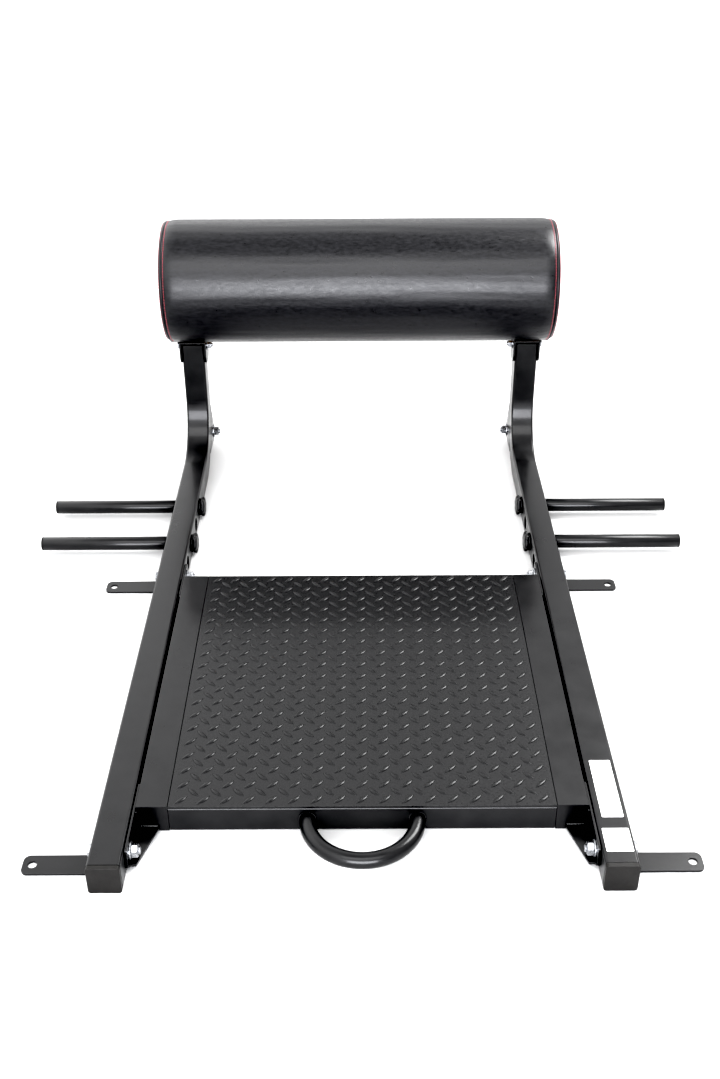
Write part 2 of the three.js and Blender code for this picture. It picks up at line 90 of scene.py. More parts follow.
KNOB = {"thick": 12 * MM, "collar": 3.4 * MM, "rim": 4.2 * MM, "disc_r": 13.6 * MM, "plug_r": 11.2 * MM,
        "lobes": 6, "lobe_depth": 3.4 * MM, "points": 96}

LOZENGE = {"length": 27 * MM, "width": 7.5 * MM, "height": 1.8 * MM, "angle": math.radians(45)}
LOZENGE_PROFILE = ((0.9, 0.4), (0.7, 0.7), (0.45, 0.9), (0.2, 1.0))  # (share of outline, share of height)
LOZENGE_PITCH = (34.9 * MM, 33.8 * MM)
LOZENGE_COLUMNS = 17
LOZENGE_ROWS = 19

ROLL_SEAM_INSET = 10 * MM  # from each end of the roll to its seam
ROLL_SLACK = 2.5 * MM  # how much smaller the cover starts than its final size
ROLL_SHOULDER = 4 * MM  # how much lower the cover lies at its seams
ROLL_SHOULDER_LENGTH = 26 * MM
ROLL_RING_SPACING = 6 * MM
PANEL_SINK = 3.5 * MM  # how far the end panel lies behind the CAD's end face
RIM_FALL = 9 * MM  # from the barrel's radius to the end panel's
RIM_RISE = 6.4 * MM
SEAM_GROOVE = 1.3 * MM
GATHER = {"height": 0.55 * MM, "reach": 14 * MM, "per_turn": 34, "along": 40}
CREASES = ((4, 9, 0.0, 0.5 * MM), (14, 26, 5.0, 0.22 * MM))  # (along, round, seed, height)
BOARD_GAP = 0.8 * MM
STITCH = {"length": 5.2 * MM, "pitch": 6.2 * MM, "r": 0.75 * MM}
UNSTITCHED_HALF = 42 * MM  # half the width of the underside without stitches
BARREL_STITCH_INSET = 4 * MM
RIM_STITCH_INSET = 3.4 * MM
RIM_STITCH_DROP = 8 * MM
RIM_AIM = 30 * MM  # how far beyond the roll's end the rays for the rim's stitches start
RAY_LIFT = 20 * MM

WELD_R = {"tab": 2.6 * MM, "gusset": 2.2 * MM, "flange": 2.4 * MM, "handle": 2.0 * MM}
WELD_STEP = 1.1 * MM
WELD_RIPPLE = 3.6 * MM
WELD_TAPER = 6 * MM

LABEL_THICK = 0.15 * MM
LABEL_CORNER = 1.5 * MM

# ---- numbers of the camera, the view, the floor and the world

CAMERA = {"place": (-0.0015, -2.014, 1.3954), "lens": 41.37, "pitch": 31.89, "roll": -0.286}
BLACK_LEVEL = 0.03
WHITE_LEVEL = 0.82
FLOOR_REACH = 14
FLOOR_DROP = 0.2 * MM
WORLD_STOPS = ((0, 0.5), (0.45, 0.85), (0.75, 1), (1, 0.45))  # (height, brightness)

# ---- frame and mesh helpers

NODE_BODY = {
    node: body
    for body, members in frame["record"]["behaviour"]["bodies"].items()
    for node in members
}


class Builder:
    """Collects points and faces of one mesh."""

    def __init__(self):
        self.points = []
        self.faces = []

    def ring(self, points):
        first = len(self.points)
        self.points.extend(Vector(p) for p in points)
        return list(range(first, len(self.points)))

    def bridge(self, a, b, closed=True):
        count = len(a)
        for i in range(count if closed else count - 1):
            j = (i + 1) % count
            self.faces.append((a[i], a[j], b[j], b[i]))

    def chain(self, rings, closed=True):
        for a, b in zip(rings, rings[1:]):
            self.bridge(a, b, closed)

    def cap(self, ring):
        self.faces.append(tuple(ring))

    def solid(self, rings):
        """Walls between the rings, and both ends closed."""
        self.chain(rings)
        self.cap(rings[0])
        self.cap(rings[-1])

    def fan(self, ring, centre):
        middle = self.ring([centre])[0]
        for i, point in enumerate(ring):
            self.faces.append((point, ring[(i + 1) % len(ring)], middle))

    def mesh(self, name, weld=0.0):
        mesh = bpy.data.meshes.new(name)
        mesh.from_pydata([tuple(p) for p in self.points], [], self.faces)
        work = bmesh.new()
        work.from_mesh(mesh)
        if weld:
            bmesh.ops.remove_doubles(work, verts=work.verts, dist=weld)
        bmesh.ops.recalc_face_normals(work, faces=work.faces)
        work.to_mesh(mesh)
        work.free()
        return mesh


def shade(mesh, sharp_degrees):
    mesh.shade_smooth()
    mesh.set_sharp_from_angle(angle=math.radians(sharp_degrees))


def make_object(name, mesh, material, sharp_degrees=35, weighted=False):
    shade(mesh, sharp_degrees)
    mesh.materials.clear()
    mesh.materials.append(material)
    obj = bpy.data.objects.new(name, mesh)
    bpy.context.scene.collection.objects.link(obj)
    if weighted:
        modifier = obj.modifiers.new("weighted normals", "WEIGHTED_NORMAL")
        modifier.keep_sharp = True
    return obj


def stand_for(obj, node):
    """obj takes the place of a CAD node."""
    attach(obj, NODE_BODY[node])
    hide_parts(node)
    return obj


def look_of(node, mesh, material, sharp_degrees=35, weighted=False):
    return stand_for(make_object(f"{node}_look", mesh, material, sharp_degrees, weighted), node)


def added(obj, body="frame"):
    """obj is a small detail with no CAD node of its own."""
    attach(obj, body)
    return obj


def middle_of(node):
    low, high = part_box(node)
    return (low + high) / 2


def half_height(node):
    low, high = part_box(node)
    return (high.z - low.z) / 2


def along_x(node, side):
    """A point on the axis of a node that lies along X, and its inner and outer end."""
    low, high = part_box(node)
    inner, outer = sorted((side * low.x, side * high.x))
    return Vector((0, (low.y + high.y) / 2, (low.z + high.z) / 2)), inner, outer


def refined(node, material, bevel=0.6 * MM, bevel_over=40):
    """The CAD node's own shape with its sharp edges rounded off."""
    work = bmesh.new()
    work.from_mesh(frame["nodes"][node].data)
    bmesh.ops.remove_doubles(work, verts=work.verts, dist=0.01 * MM)
    bmesh.ops.dissolve_limit(work, angle_limit=math.radians(2), verts=work.verts, edges=work.edges)
    limit = math.radians(bevel_over)
    sharp = [e for e in work.edges if e.is_manifold and e.calc_face_angle() > limit]
    bmesh.ops.bevel(
        work, geom=sharp, offset=bevel, segments=2, profile=0.5, affect="EDGES", clamp_overlap=True,
    )
    mesh = bpy.data.meshes.new(node)
    work.to_mesh(mesh)
    work.free()
    return look_of(node, mesh, material, weighted=True)


def circle(r, count):
    return [(r * math.cos(TAU * i / count), r * math.sin(TAU * i / count)) for i in range(count)]


def rounded_box_section(half_u, half_v, corner, steps=5):
    """A rectangle with round corners, as (u, v) points."""
    points = []
    for quarter, (su, sv) in enumerate(((1, 1), (-1, 1), (-1, -1), (1, -1))):
        centre = (su * (half_u - corner), sv * (half_v - corner))
        for step in range(steps + 1):
            angle = math.pi / 2 * (quarter + step / steps)
            points.append((centre[0] + corner * math.cos(angle), centre[1] + corner * math.sin(angle)))
    return points


def placed(section, origin, u_axis, v_axis):
    return [origin + u * u_axis + v * v_axis for u, v in section]


def lathe_x(builder, profile, side, centre, count=32):
    """Turns (distance along X from centre, radius) points about an X axis; +X side outwards."""
    rings = []
    for along, r in profile:
        origin = centre + Vector((side * along, 0, 0))
        rings.append(builder.ring(placed(circle(max(r, 0.01 * MM), count), origin, Y_AXIS, Z_AXIS)))
    builder.chain(rings)
    return rings


def rectangle(x0, y0, x1, y1):
    return [(x0, y0), (x1, y0), (x1, y1), (x0, y1)]


def round_edge(along, r, radius, outward, inward, steps=4):
    """Profile points of a rounded rim at (along, r), from the side wall to the face."""
    points = []
    for step in range(steps + 1):
        angle = math.pi / 2 * step / steps
        back = outward * radius * (1 - math.sin(angle))
        points.append((along - back, r - inward * radius * (1 - math.cos(angle))))
    return points


# ---- materials

class Surface:
    """Short-hand for a procedural material, laid out in the shared frame's coordinates."""

    def __init__(self, name, **sockets):
        self.material = bpy.data.materials.new(name)
        self.material.use_nodes = True
        self.tree = self.material.node_tree
        self.shader = self.tree.nodes["Principled BSDF"]
        self.place = self.add("ShaderNodeTexCoord").outputs["Object"]
        for socket, value in sockets.items():
            self.shader.inputs[socket.replace("_", " ")].default_value = value

    def add(self, kind, **settings):
        node = self.tree.nodes.new(kind)
        for key, value in settings.items():
            if hasattr(node, key):
                setattr(node, key, value)
            else:
                node.inputs[key.replace("_", " ")].default_value = value
        return node

    def link(self, output, target):
        self.tree.links.new(output, target)

    def stretched(self, scale):
        node = self.add("ShaderNodeMapping", Scale=scale)
        self.link(self.place, node.inputs["Vector"])
        return node.outputs["Vector"]

    def noise(self, scale, detail=3.0, roughness=0.55, vector=None):
        node = self.add("ShaderNodeTexNoise", Scale=scale, Detail=detail, Roughness=roughness)
        self.link(vector or self.place, node.inputs["Vector"])
        return node.outputs["Fac"]

    def cells(self, scale, feature="DISTANCE_TO_EDGE", vector=None):
        node = self.add("ShaderNodeTexVoronoi", feature=feature)
        node.inputs["Scale"].default_value = scale
        self.link(vector or self.place, node.inputs["Vector"])
        return node.outputs["Distance"]

    def remap(self, value, low, high, to_low, to_high):
        node = self.add("ShaderNodeMapRange")
        for key, number in zip(("From Min", "From Max", "To Min", "To Max"), (low, high, to_low, to_high)):
            node.inputs[key].default_value = number
        self.link(value, node.inputs["Value"])
        return node.outputs["Result"]

    def colours(self, value, *stops):
        """Colours along value, each stop being (place, (r, g, b))."""
        node = self.add("ShaderNodeValToRGB")
        ramp = node.color_ramp
        while len(ramp.elements) < len(stops):
            ramp.elements.new(0.5)
        for element, (place, colour) in zip(ramp.elements, stops):
            element.position = place
            element.color = (*colour, 1)
        self.link(value, node.inputs["Fac"])
        return node.outputs["Color"]

    def mix(self, factor, a, b):
        node = self.add("ShaderNodeMix", data_type="RGBA")
        self.link(factor, node.inputs["Factor"])
        self.link(a, node.inputs[6])
        self.link(b, node.inputs[7])
        return node.outputs[2]

    def bump(self, height, strength, distance, below=None):
        node = self.add("ShaderNodeBump", Strength=strength, Distance=distance)
        self.link(height, node.inputs["Height"])
        if below:
            self.link(below, node.inputs["Normal"])
        return node.outputs["Normal"]

    def finish(self, colour=None, roughness=None, normal=None):
        for value, socket in ((colour, "Base Color"), (roughness, "Roughness"), (normal, "Normal")):
            if value:
                self.link(value, self.shader.inputs[socket])
        return self.material


def powder_coat(name, dark, light, smoothest, roughest, peel=0.25, patches=24):
    """Satin black powder coat: orange peel under a thin gloss, with a faint cloudy tone."""
    s = Surface(name, Specular_IOR_Level=0.3, Coat_Weight=0.25, Coat_Roughness=0.12)
    cloud = s.noise(patches, 4)
    colour = s.colours(cloud, (0.3, dark), (0.7, light))
    roughness = s.remap(cloud, 0.3, 0.7, smoothest, roughest)
    return s.finish(colour, roughness, s.bump(s.noise(620, 2), peel, 0.2 * MM))


def zinc_plate():
    s = Surface("zinc_plated", Metallic=1.0)
    patches = s.noise(160, 4)
    colour = s.colours(patches, (0.3, (0.2, 0.205, 0.215)), (0.7, (0.55, 0.56, 0.58)))
    roughness = s.remap(s.noise(420, 3), 0.3, 0.7, 0.2, 0.42)
    return s.finish(colour, roughness, s.bump(s.noise(1200, 3), 0.15, 0.1 * MM))


def moulded_plastic(name, tone, smoothest=0.42, roughest=0.58):
    s = Surface(name, Specular_IOR_Level=0.4)
    colour = s.colours(s.noise(40, 4), (0.3, tone), (0.7, tuple(1.5 * c for c in tone)))
    roughness = s.remap(s.noise(120, 3), 0.3, 0.7, smoothest, roughest)
    grain = s.bump(s.cells(1500, "F1"), 0.2, 0.1 * MM)
    return s.finish(colour, roughness, grain)


def rubber():
    s = Surface("tyre_rubber", Specular_IOR_Level=0.3)
    colour = s.colours(s.noise(60, 5), (0.3, (0.012, 0.012, 0.012)), (0.75, (0.035, 0.034, 0.033)))
    roughness = s.remap(s.noise(200, 3), 0.3, 0.7, 0.62, 0.85)
    return s.finish(colour, roughness, s.bump(s.noise(1800, 2), 0.35, 0.1 * MM))


def leatherette():
    """Black embossed vinyl: small grain drawn out along the roll, with soft creases."""
    s = Surface("black_leatherette", Specular_IOR_Level=0.5)
    along = s.stretched((0.45, 1, 1))
    valleys = s.remap(s.cells(640, "DISTANCE_TO_EDGE", s.stretched((0.6, 1, 1))), 0.0, 0.35, 0.0, 1.0)
    streaks = s.noise(200, 2, 0.5, along)
    colour = s.colours(streaks, (0.3, (0.0045, 0.0045, 0.0055)), (0.72, (0.011, 0.011, 0.013)))
    roughness = s.remap(streaks, 0.25, 0.75, 0.27, 0.41)
    creases = s.bump(streaks, 0.35, 0.35 * MM)
    return s.finish(colour, roughness, s.bump(valleys, 0.4, 0.15 * MM, creases))


def thread():
    s = Surface("red_thread", Specular_IOR_Level=0.3, Sheen_Weight=0.4)
    fuzz = s.noise(1600, 3)
    colour = s.colours(fuzz, (0.3, (0.17, 0.018, 0.028)), (0.72, (0.34, 0.055, 0.075)))
    roughness = s.remap(fuzz, 0.3, 0.7, 0.55, 0.8)
    return s.finish(colour, roughness, s.bump(s.noise(2600, 2), 0.5, 0.15 * MM))


def plywood():
    s = Surface("plywood_board", Specular_IOR_Level=0.3)
    grain = s.noise(60, 6, 0.6, s.stretched((0.12, 1, 1)))
    face = s.colours(grain, (0.3, (0.36, 0.22, 0.11)), (0.72, (0.6, 0.42, 0.24)))
    plies = s.noise(420, 1, 0.4, s.stretched((0.02, 0.02, 1)))
    edge = s.colours(plies, (0.42, (0.2, 0.11, 0.05)), (0.58, (0.62, 0.45, 0.27)))
    colour = s.mix(s.noise(8, 2), face, edge)
    roughness = s.remap(grain, 0.3, 0.7, 0.6, 0.8)
    return s.finish(colour, roughness, s.bump(grain, 0.3, 0.3 * MM))


def label_film():
    s = Surface("blank_label", Specular_IOR_Level=0.4)
    colour = s.colours(s.noise(30, 3), (0.3, (0.8, 0.8, 0.79)), (0.7, (0.9, 0.9, 0.9)))
    roughness = s.remap(s.noise(90, 3), 0.3, 0.7, 0.35, 0.5)
    return s.finish(colour, roughness, s.bump(s.noise(300, 2), 0.1, 0.1 * MM))


POWDER = powder_coat("black_powder_coat", (0.006, 0.006, 0.0065), (0.011, 0.011, 0.0115), 0.27, 0.38)
TREAD = powder_coat(
    "tread_plate_coat", (0.007, 0.007, 0.0075), (0.013, 0.013, 0.0135), 0.24, 0.46, peel=0.8, patches=260,
)
ZINC = zinc_plate()
KNOB_PLASTIC = moulded_plastic("knob_plastic", (0.006, 0.006, 0.0065), 0.3, 0.45)
CAP_PLASTIC = moulded_plastic("cap_plastic", (0.009, 0.0085, 0.008))
RUBBER = rubber()
LEATHER = leatherette()
THREAD = thread()
PLYWOOD = plywood()
LABEL = label_film()

# ---- fasteners

def hex_radius(angle, across_corners_r):
    apothem = across_corners_r * math.cos(math.pi / 6)
    within = (angle + math.pi / 6) % (math.pi / 3) - math.pi / 6
    return apothem / math.cos(within)


def hexagon(builder, centre, side, start, end, corner_r, bore_r, chamfer_start, chamfer_end, count=48):
    """A hexagonal block along X with chamfered corners, from start to end, outwards positive."""
    apothem = corner_r * math.cos(math.pi / 6)
    face_r = apothem * 0.96
    direction = 1 if end > start else -1
    slope = math.tan(math.radians(30))
    angles = [TAU * i / count for i in range(count)]

    def ring(radius_of, along_of):
        return builder.ring([
            centre + Vector((side * along_of(a), radius_of(a) * math.cos(a), radius_of(a) * math.sin(a)))
            for a in angles
        ])

    def corner(a):
        return hex_radius(a, corner_r)

    def drop(a):
        return max(corner(a) - face_r, 0) * slope

    rings = [ring(lambda a: bore_r, lambda a: start)]
    if chamfer_start:
        rings.append(ring(lambda a: face_r, lambda a: start))
        rings.append(ring(corner, lambda a: start + direction * drop(a)))
    else:
        rings.append(ring(corner, lambda a: start))
    if chamfer_end:
        rings.append(ring(corner, lambda a: end - direction * drop(a)))
        rings.append(ring(lambda a: face_r, lambda a: end))
    else:
        rings.append(ring(corner, lambda a: end))
    rings.append(ring(lambda a: bore_r, lambda a: end))
    builder.chain(rings)
    return rings[0], rings[-1]


def thread_rod(builder, centre, side, start, end, size, count=20):
    """A threaded rod along X from start to end, closed at end by a chamfered tip."""
    depth = 0.5 * size["pitch"]
    steps = max(8, round(abs(end - start) / size["pitch"] * 6))
    rings = []
    for step in range(steps + 1):
        along = start + (end - start) * step / steps
        points = []
        for i in range(count):
            phase = (along / size["pitch"] + i / count) % 1
            r = size["r"] - depth * abs(2 * phase - 1)
            r = min(r, size["r"] - depth * (step == steps))
            angle = TAU * i / count
            points.append(centre + Vector((side * along, r * math.cos(angle), r * math.sin(angle))))
        rings.append(builder.ring(points))
    builder.chain(rings)
    builder.fan(rings[-1], centre + Vector((side * end, 0, 0)))
    builder.cap(rings[0])


def add_bolt(node, side, size):
    centre, tip, top = along_x(node, side)
    under = top - size["head"]
    builder = Builder()
    base, crown = hexagon(builder, centre, side, under, top, size["head_r"], size["r"] * 0.5, False, True)
    builder.fan(crown, centre + Vector((side * (top - CROWN_DISH), 0, 0)))
    builder.fan(base, centre + Vector((side * under, 0, 0)))
    thread_start = tip + THREAD_LENGTH
    shank = lathe_x(builder, [(under + 0.5 * MM, size["r"]), (thread_start, size["r"])], side, centre, 24)
    builder.cap(shank[0])
    builder.cap(shank[1])
    thread_rod(builder, centre, side, thread_start, tip, size)
    look_of(node, builder.mesh(node), ZINC, 28)


def washer_profile(start, end, bore_r, outer_r, edge=0.4 * MM):
    way = 1 if end > start else -1
    return [(start, bore_r), (start, outer_r - edge), (start + way * edge, outer_r),
            (end - way * edge, outer_r), (end, outer_r - edge), (end, bore_r), (start, bore_r)]


def add_nut(node, side, size):
    centre, inner, seat = along_x(node, side)
    builder = Builder()
    bore = size["r"] * 1.03
    lathe_x(builder, washer_profile(seat, seat - size["washer"], bore, size["washer_r"]), side, centre, 40)
    start = seat - size["washer"] - 0.05 * MM
    first, last = hexagon(builder, centre, side, start, inner, size["head_r"], bore, True, True)
    builder.bridge(last, first)
    look_of(node, builder.mesh(node), ZINC, 28)


for side_name, side in SIDES.items():
    for end in ENDS:
        add_bolt(f"deck_{end}_{side_name}_bolt", side, M12)
        add_nut(f"deck_{end}_{side_name}_nut", side, M12)
    add_bolt(f"wheel_axle_{side_name}_bolt", side, M12)
    add_nut(f"wheel_axle_{side_name}_nut", side, M12)
    add_bolt(f"pad_{side_name}_bolt", side, M10)
    add_nut(f"pad_{side_name}_nut", side, M10)

# ---- rails

def rail_stations(low, high):
    """Centre, and the tube's own upward direction, at each station from the front end to the top."""
    half = TUBE / 2
    x = (low.x + high.x) / 2
    bend = Vector((x, high.y - BEND_OUTER_R, low.z + BEND_OUTER_R))
    stations = [(Vector((x, low.y, low.z + half)), Z_AXIS)]
    for step in range(BEND_STEPS + 1):
        angle = math.pi / 2 * step / BEND_STEPS
        inward = Vector((0, -math.sin(angle), math.cos(angle)))
        stations.append((bend - inward * (BEND_OUTER_R - half), inward))
    stations.append((Vector((x, high.y - half, high.z)), -Y_AXIS))
    return stations


def rod_cutter(centre, half_length, r, count=40):
    builder = Builder()
    rings = lathe_x(builder, [(-half_length, r), (half_length, r)], 1, centre, count)
    builder.cap(rings[0])
    builder.cap(rings[1])
    cutter = bpy.data.objects.new("cutter", builder.mesh("cutter"))
    bpy.context.scene.collection.objects.link(cutter)
    return cutter


def cut_holes(mesh, cutters):
    """The mesh with the cutters' shapes taken out of it; the cutters are removed."""
    obj = bpy.data.objects.new("blank", mesh)
    bpy.context.scene.collection.objects.link(obj)
    for cutter in cutters:
        modifier = obj.modifiers.new("hole", "BOOLEAN")
        modifier.operation = "DIFFERENCE"
        modifier.solver = "EXACT"
        modifier.object = cutter
    depsgraph = bpy.context.evaluated_depsgraph_get()
    result = bpy.data.meshes.new_from_object(obj.evaluated_get(depsgraph))
    for scrap in (obj, *cutters):
        bpy.data.objects.remove(scrap)
    return result


def peg_hole_places(side_name):
    """Y of the four holes in a row: the pegs are in the second and the fourth."""
    second = middle_of(f"peg_bar_front_{side_name}").y
    fourth = middle_of(f"peg_bar_rear_{side_name}").y
    pitch = (fourth - second) / 2
    return [second - pitch, second, second + pitch, fourth]


def add_rail(side_name):
    node = f"rail_{side_name}"
    low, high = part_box(node)
    builder = Builder()
    sections = [
        rounded_box_section(TUBE / 2, TUBE / 2, TUBE_CORNER),
        rounded_box_section(TUBE / 2 - TUBE_WALL, TUBE / 2 - TUBE_WALL, TUBE_CORNER - TUBE_WALL + 0.5 * MM),
    ]
    skins = []
    for section in sections:
        stations = rail_stations(low, high)
        rings = [builder.ring(placed(section, centre, X_AXIS, up)) for centre, up in stations]
        builder.chain(rings)
        skins.append(rings)
    for end in (0, -1):
        builder.bridge(skins[0][end], skins[1][end])
    peg_z = middle_of(f"peg_bar_front_{side_name}").z
    x = (low.x + high.x) / 2
    cutters = [rod_cutter(Vector((x, y, peg_z)), TUBE, PEG_HOLE_R) for y in peg_hole_places(side_name)]
    look_of(node, cut_holes(builder.mesh(node), cutters), POWDER, 40, weighted=True)


for side_name in SIDES:
    add_rail(side_name)
    refined(f"rail_front_cap_{side_name}", CAP_PLASTIC, 0.9 * MM)

# ---- foot deck

def add_tube(node, axis, corner):
    """A straight rectangular tube with plain closed ends."""
    low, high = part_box(node)
    half = (high - low) / 2
    centre = (low + high) / 2
    builder = Builder()
    if axis == "x":
        way, across, reach, half_width = X_AXIS, Y_AXIS, half.x, half.y
    else:
        way, across, reach, half_width = Y_AXIS, X_AXIS, half.y, half.x
    section = rounded_box_section(half_width, half.z, corner)
    inset = [(0.94 * a, 0.94 * b) for a, b in section]
    wall = reach - 0.5 * MM
    rings = [
        builder.ring(placed(outline, centre + way * along, across, Z_AXIS))
        for outline, along in ((inset, -reach), (section, -wall), (section, wall), (inset, reach))
    ]
    builder.solid(rings)
    look_of(node, builder.mesh(node), POWDER, 40, weighted=True)


def lens_outline(centre, angle, steps=7):
    """Outline of one raised lozenge: two shallow arcs that meet at its tips."""
    a = LOZENGE["length"] / 2
    b = LOZENGE["width"] / 2
    r = (a * a + b * b) / (2 * b)
    points = []
    for way in (1, -1):
        for step in range(steps):
            x = way * a * (1 - 2 * step / steps)
            y = way * (math.sqrt(r * r - x * x) - (r - b))
            points.append((x, y))
    turn = Matrix.Rotation(angle, 2)
    return [Vector(centre) + turn @ Vector(p) for p in points]


def lozenge_places(low, high):
    """Centre and turn of each lozenge that lies whole on the plate."""
    dx, dy = LOZENGE_PITCH
    centre_x = (low.x + high.x) / 2
    centre_y = (low.y + high.y) / 2
    reach = LOZENGE["length"] / 2 * math.cos(LOZENGE["angle"]) + LOZENGE["width"] / 4
    for row in range(2 * LOZENGE_ROWS + 1):
        for column in range(2 * LOZENGE_COLUMNS + 1):
            if row % 2 != column % 2:
                continue
            x = centre_x + (column - LOZENGE_COLUMNS) * dx / 2
            y = centre_y + (row - LOZENGE_ROWS) * dy / 2
            inside_x = low.x + reach < x < high.x - reach
            inside_y = low.y + reach < y < high.y - reach
            if inside_x and inside_y:
                yield (x, y), LOZENGE["angle"] * (1 if row % 2 else -1)


def add_tread_plate():
    node = "tread_plate"
    low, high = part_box(node)
    edge = 0.6 * MM
    top = high.z
    border = rectangle(low.x + edge, low.y + edge, high.x - edge, high.y - edge)
    lenses = list(lozenge_places(low, high))
    outlines = [lens_outline(centre, angle) for centre, angle in lenses]
    flat = [Vector(corner) for corner in border]
    edges = [(0, 1), (1, 2), (2, 3), (3, 0)]
    owner = {}
    for index, outline in enumerate(outlines):
        first = len(flat)
        flat.extend(outline)
        count = len(outline)
        edges.extend((first + i, first + (i + 1) % count) for i in range(count))
        for i in range(count):
            owner[first + i] = index
    points, _, triangles, originals, _, _ = delaunay_2d_cdt(flat, edges, [], 1, 1e-6)
    lens_of = [next((owner[i] for i in group if i in owner), None) for group in originals]
    builder = Builder()
    ground = builder.ring([(p.x, p.y, top) for p in points])
    for triangle in triangles:
        owners = {lens_of[i] for i in triangle}
        if len(owners) > 1 or None in owners:
            builder.faces.append(tuple(ground[i] for i in triangle))
    lookup = {}
    for index, group in enumerate(originals):
        for original in group:
            lookup[original] = ground[index]
    first = len(border)
    for (centre, _), outline in zip(lenses, outlines):
        count = len(outline)
        rings = [[lookup[first + i] for i in range(count)]]
        for spread, share in LOZENGE_PROFILE:
            rings.append(builder.ring([
                (centre[0] + (p.x - centre[0]) * spread, centre[1] + (p.y - centre[1]) * spread,
                 top + LOZENGE["height"] * share)
                for p in outline
            ]))
        builder.chain(rings)
        builder.cap(rings[-1])
        first += count
    corners = [lookup[i] for i in range(4)]
    outer = rectangle(low.x, low.y, high.x, high.y)
    wall = [builder.ring([(x, y, z) for x, y in outer]) for z in (top - edge, low.z)]
    builder.chain([corners, *wall])
    builder.cap(wall[-1])
    look_of(node, builder.mesh(node), TREAD, 25)


add_tread_plate()
for node in ("deck_front_beam", "deck_rear_beam"):
    add_tube(node, "x", BEAM_CORNER)
for node in ("deck_rib_1", "deck_rib_2"):
    add_tube(node, "x", RIB_CORNER)
for side_name in SIDES:
    add_tube(f"deck_side_tube_{side_name}", "y", SIDE_TUBE_CORNER)
for end, side_name in PLACES:
    refined(f"deck_flange_{end}_{side_name}", POWDER)
    refined(f"anchor_tab_{end}_{side_name}", POWDER, 0.5 * MM)

# ---- carry handle

def add_handle():
    node = "carry_handle"
    low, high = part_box(node)
    tube_r = (high.z - low.z) / 2
    ring_r = (high.x - low.x) / 2 - tube_r
    z = (low.z + high.z) / 2
    centre = Vector(((low.x + high.x) / 2, low.y + tube_r + ring_r, z))
    stations = [(Vector((centre.x - ring_r, high.y, z)), X_AXIS)]
    steps = 56
    for step in range(steps + 1):
        angle = math.pi * step / steps
        out = Vector((-math.cos(angle), -math.sin(angle), 0))
        stations.append((centre + ring_r * out, -out))
    stations.append((Vector((centre.x + ring_r, high.y, z)), -X_AXIS))
    builder = Builder()
    rings = [builder.ring(placed(circle(tube_r, 28), origin, u, Z_AXIS)) for origin, u in stations]
    builder.solid(rings)
    look_of(node, builder.mesh(node), POWDER, 50)
    return ring_r, tube_r, high.y, z


HANDLE_RING_R, HANDLE_TUBE_R, HANDLE_FOOT_Y, HANDLE_Z = add_handle()

# ---- band pegs

def add_peg_bar(node, side):
    centre, inner, outer = along_x(node, side)
    r = half_height(node)
    edge = 0.6 * MM
    bore = r - PEG_WALL
    builder = Builder()
    profile = [(inner, bore), (inner, r - edge), (inner + edge, r), (outer - edge, r), (outer, r - edge),
               (outer, bore), (inner, bore)]
    lathe_x(builder, profile, side, centre, 40)
    look_of(node, builder.mesh(node, 0.001 * MM), POWDER, 50)


def add_tip_cap(node, side):
    centre, inner, tip = along_x(node, side)
    r = half_height(node)
    plug_r = r - PEG_WALL - 0.3 * MM
    disc = tip - TIP_CAP_THICK
    builder = Builder()
    profile = [(inner, plug_r - MM), (inner + MM, plug_r), (disc, plug_r), (disc, r - 0.1 * MM)]
    profile += round_edge(tip, r, 1.8 * MM, 1, 1)
    profile.append((tip + 0.4 * MM, r * 0.4))
    rings = lathe_x(builder, profile, side, centre, 40)
    builder.cap(rings[0])
    builder.fan(rings[-1], centre + Vector((side * (tip + 0.5 * MM), 0, 0)))
    look_of(node, builder.mesh(node), CAP_PLASTIC, 50)


def add_knob(node, side):
    """A collar at the rail, a waist, a lobed head with a fat rim round a flat disc, and the spigot."""
    low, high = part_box(node)
    outer_r = (high.y - low.y) / 2
    centre, face, spigot = along_x(node, side)
    back = face + KNOB["thick"]
    rim = KNOB["rim"]
    disc_r = KNOB["disc_r"]
    plug_r = KNOB["plug_r"]
    builder = Builder()

    def ring(along, r, lobed):
        points = []
        for i in range(KNOB["points"]):
            angle = TAU * i / KNOB["points"]
            lobe = KNOB["lobe_depth"] / 2 * (1 - math.cos(KNOB["lobes"] * angle))
            reach = r - lobed * lobe
            points.append(centre + Vector((side * along, reach * math.cos(angle), reach * math.sin(angle))))
        return builder.ring(points)

    head = back - KNOB["collar"]
    rings = [
        ring(back, outer_r - 3.6 * MM, 0),
        ring(back - 0.6 * MM, outer_r - 3 * MM, 0),
        ring(head + 0.9 * MM, outer_r - 3 * MM, 0),
        ring(head + 0.6 * MM, outer_r - 5.4 * MM, 0),
        ring(head, outer_r - 5.4 * MM, 0.2),
        ring(head - 0.4 * MM, outer_r - 1.2 * MM, 1),
    ]
    for step in range(7):
        angle = math.pi / 2 * step / 6
        r = outer_r - 1.6 * rim * (1 - math.cos(angle))
        rings.append(ring(face + rim * (1 - math.sin(angle)), r, 1))
    rings += [
        ring(face + 0.2 * MM, disc_r + 1.1 * MM, 0.1),
        ring(face + 1.0 * MM, disc_r + 0.5 * MM, 0),
        ring(face + 1.0 * MM, disc_r, 0),
        ring(face + 0.3 * MM, disc_r - 0.5 * MM, 0),
    ]
    builder.chain(rings)
    builder.fan(rings[-1], centre + Vector((side * (face + 0.1 * MM), 0, 0)))
    plug_profile = [(back, plug_r), (spigot - MM, plug_r), (spigot, plug_r - MM)]
    plug = lathe_x(builder, plug_profile, side, centre, KNOB["points"])
    builder.bridge(rings[0], plug[0])
    builder.cap(plug[-1])
    look_of(node, builder.mesh(node), KNOB_PLASTIC, 40)


